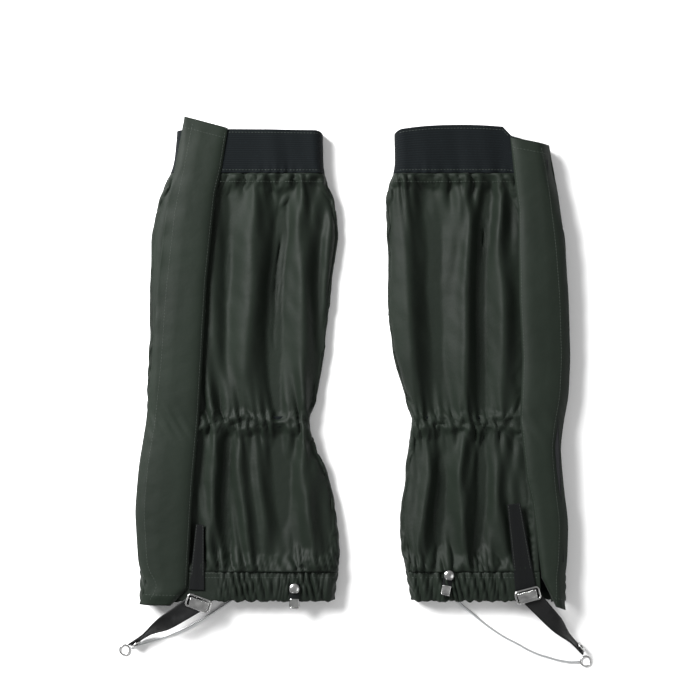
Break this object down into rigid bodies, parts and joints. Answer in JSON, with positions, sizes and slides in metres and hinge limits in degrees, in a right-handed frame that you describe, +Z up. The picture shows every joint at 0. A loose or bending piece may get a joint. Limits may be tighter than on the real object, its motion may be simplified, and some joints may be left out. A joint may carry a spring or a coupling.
{
  "type": "gaiters",
  "caption": "Pair of knee-high fabric hiking gaiters lying flat, with elastic calf band, storm flap over a zip, lace hook, buckled foot strap and steel instep cable.",
  "frame": {"origin": "centre of the pair's base, on the table the gaiters lie on", "axes": "+Y from the shoe ends to the calf ends, +Z up from the table, +X from the left gaiter to the right one"},
  "size_m": [0.4374, 0.5074, 0.0289],
  "materials": {
    "olive_fabric": "coated plain weave, dark olive green, slight sheen",
    "black_elastic": "ribbed woven elastic, black",
    "black_webbing": "woven polyester webbing, black",
    "black_plastic": "moulded acetal zip teeth, black",
    "nickel_steel": "nickel-plated steel, polished",
    "cable_steel": "stranded stainless steel cable with a clear coat"
  },
  "bodies": {
    "gaiters": {"left_leg_panel": "olive_fabric", "left_hem_casing": "olive_fabric", "left_top_band": "black_elastic", "left_ankle_elastic": "black_elastic", "left_hem_elastic": "black_elastic", "left_hook_tape": "black_webbing", "left_zip_tape_front": "black_webbing", "left_zip_tape_back": "black_webbing", "left_zip_teeth_front": "black_plastic", "left_zip_teeth_back": "black_plastic", "left_zip_box": "black_plastic", "left_buckle_webbing": "black_webbing", "left_buckle_frame": "nickel_steel", "left_foot_cable": "cable_steel", "left_anchor_ferrule": "nickel_steel", "left_anchor_tab": "black_webbing", "left_anchor_rivet": "nickel_steel", "left_hook_rivet": "nickel_steel", "right_leg_panel": "olive_fabric", "right_hem_casing": "olive_fabric", "right_top_band": "black_elastic", "right_ankle_elastic": "black_elastic", "right_hem_elastic": "black_elastic", "right_hook_tape": "black_webbing", "right_zip_tape_front": "black_webbing", "right_zip_tape_back": "black_webbing", "right_zip_teeth_front": "black_plastic", "right_zip_teeth_back": "black_plastic", "right_zip_box": "black_plastic", "right_buckle_webbing": "black_webbing", "right_buckle_frame": "nickel_steel", "right_foot_cable": "cable_steel", "right_anchor_ferrule": "nickel_steel", "right_anchor_tab": "black_webbing", "right_anchor_rivet": "nickel_steel", "right_hook_rivet": "nickel_steel"},
    "left_flap": {"left_storm_flap": "olive_fabric", "left_loop_tape": "black_webbing"},
    "left_slider": {"left_zip_slider": "nickel_steel", "left_zip_pull": "nickel_steel"},
    "left_cam": {"left_buckle_cam": "nickel_steel"},
    "left_strap": {"left_foot_strap": "black_webbing", "left_strap_eyelet": "nickel_steel", "left_strap_ring": "nickel_steel"},
    "left_hook": {"left_hook_tab": "black_webbing", "left_lace_hook": "nickel_steel"},
    "right_flap": {"right_storm_flap": "olive_fabric", "right_loop_tape": "black_webbing"},
    "right_slider": {"right_zip_slider": "nickel_steel", "right_zip_pull": "nickel_steel"},
    "right_cam": {"right_buckle_cam": "nickel_steel"},
    "right_strap": {"right_foot_strap": "black_webbing", "right_strap_eyelet": "nickel_steel", "right_strap_ring": "nickel_steel"},
    "right_hook": {"right_hook_tab": "black_webbing", "right_lace_hook": "nickel_steel"}
  },
  "joints": [
    {"name": "left_flap_opens", "type": "hinge", "parent": "gaiters", "child": "left_flap", "pos_m": [-0.13755, 0.0317, 0.02095], "axis": [0.0788, 0.9969, 0], "range_deg": [0, 85]},
    {"name": "left_zip_slides", "type": "slide", "parent": "gaiters", "child": "left_slider", "axis": [-0.0877, -0.9961, 0], "range_m": [0, 0.35]},
    {"name": "left_cam_lifts", "type": "hinge", "parent": "gaiters", "child": "left_cam", "pos_m": [-0.14233, -0.18862, 0.0268], "axis": [-0.9397, 0.342, 0], "range_deg": [0, 80]},
    {"name": "left_strap_adjusts", "type": "slide", "parent": "gaiters", "child": "left_strap", "axis": [-0.838, -0.5457, 0], "range_m": [-0.012, 0.004], "deforming": ["left_foot_cable"]},
    {"name": "left_hook_swivels", "type": "hinge", "parent": "gaiters", "child": "left_hook", "pos_m": [-0.0558, -0.1788, 0.021], "axis": [0, 0, 1], "range_deg": [-25, 25]},
    {"name": "right_flap_opens", "type": "hinge", "parent": "gaiters", "child": "right_flap", "pos_m": [0.1562, 0.0322, 0.02095], "axis": [0.0662, -0.9978, 0], "range_deg": [0, 85]},
    {"name": "right_zip_slides", "type": "slide", "parent": "gaiters", "child": "right_slider", "axis": [0.04, -0.9992, 0], "range_m": [0, 0.335]},
    {"name": "right_cam_lifts", "type": "hinge", "parent": "gaiters", "child": "right_cam", "pos_m": [0.15708, -0.1812, 0.0268], "axis": [-0.9659, -0.2588, 0], "range_deg": [0, 80]},
    {"name": "right_strap_adjusts", "type": "slide", "parent": "gaiters", "child": "right_strap", "axis": [0.6797, -0.7335, 0], "range_m": [-0.012, 0.004], "deforming": ["right_foot_cable"]},
    {"name": "right_hook_swivels", "type": "hinge", "parent": "gaiters", "child": "right_hook", "pos_m": [0.0859, -0.1668, 0.021], "axis": [0, 0, 1], "range_deg": [-25, 25]}
  ]
}
